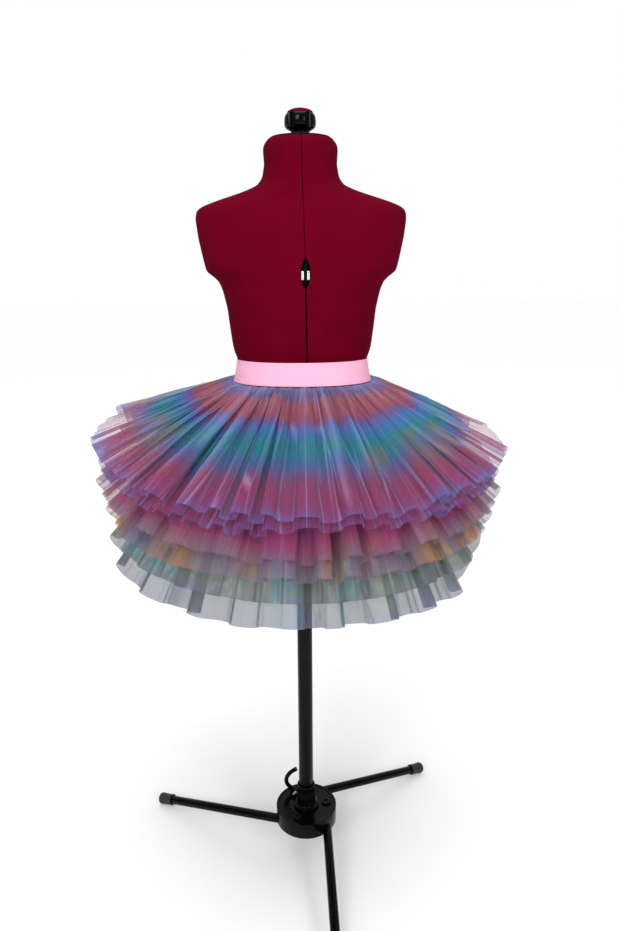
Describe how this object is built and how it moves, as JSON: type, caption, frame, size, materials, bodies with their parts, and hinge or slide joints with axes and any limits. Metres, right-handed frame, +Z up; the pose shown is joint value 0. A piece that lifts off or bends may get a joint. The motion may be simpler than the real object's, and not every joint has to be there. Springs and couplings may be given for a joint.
{
  "type": "tulle skirt on limbless dress form and stand",
  "caption": "Full tulle skirt of gathered flounces in shaded colours on an elastic waistband, worn by a limbless adjustable dress form that rises and turns on its stand.",
  "frame": {"origin": "on the floor, on the axis of the stand's pole", "axes": "+Z up the pole, -Y towards the front of the form, +X towards the viewer's right of the front"},
  "size_m": [0.639, 0.6138, 1.2436],
  "materials": {
    "form_fabric": "matte",
    "pink_elastic": "matte",
    "top_tulle": "satin",
    "middle_tulle": "satin",
    "bottom_tulle": "satin",
    "black_enamel": "gloss",
    "black_plastic": "gloss",
    "black_rubber": "matte",
    "white_scale": "satin",
    "bright_steel": "satin"
  },
  "bodies": {
    "stand": {"hub": "black_enamel", "hub_sleeve": "black_enamel", "hub_boss_right": "black_enamel", "hub_boss_back": "black_enamel", "hub_boss_front": "black_enamel", "hub_screw": "bright_steel", "hub_hook": "black_enamel", "leg_left": "black_enamel", "leg_front": "black_enamel", "leg_right": "black_enamel", "leg_tip_left": "black_rubber", "leg_tip_front": "black_rubber", "leg_tip_right": "black_rubber", "pole": "black_enamel", "pole_collar": "black_plastic"},
    "rod": {"form_rod": "bright_steel"},
    "form": {"form_torso": "form_fabric", "neck_cap": "black_plastic", "dial_wheel": "black_plastic", "dial_scale_left": "white_scale", "dial_scale_right": "white_scale", "waistband": "pink_elastic", "top_flounce_over": "top_tulle", "top_flounce_under": "top_tulle", "middle_flounce_over": "middle_tulle", "middle_flounce_under": "middle_tulle", "bottom_flounce_over": "bottom_tulle", "bottom_flounce_under": "bottom_tulle"},
    "knob": {"neck_knob": "black_plastic", "knob_button": "form_fabric"}
  },
  "joints": [
    {"name": "form_height", "type": "slide", "parent": "stand", "child": "rod", "axis": [0, 0, 1], "range_m": [0, 0.15]},
    {"name": "form_turn", "type": "hinge", "parent": "rod", "child": "form", "pos_m": [0, 0, 0.63], "axis": [0, 0, 1], "continuous": true},
    {"name": "knob_turn", "type": "hinge", "parent": "form", "child": "knob", "pos_m": [0, 0, 1.22], "axis": [0, 0, 1], "continuous": true}
  ]
}
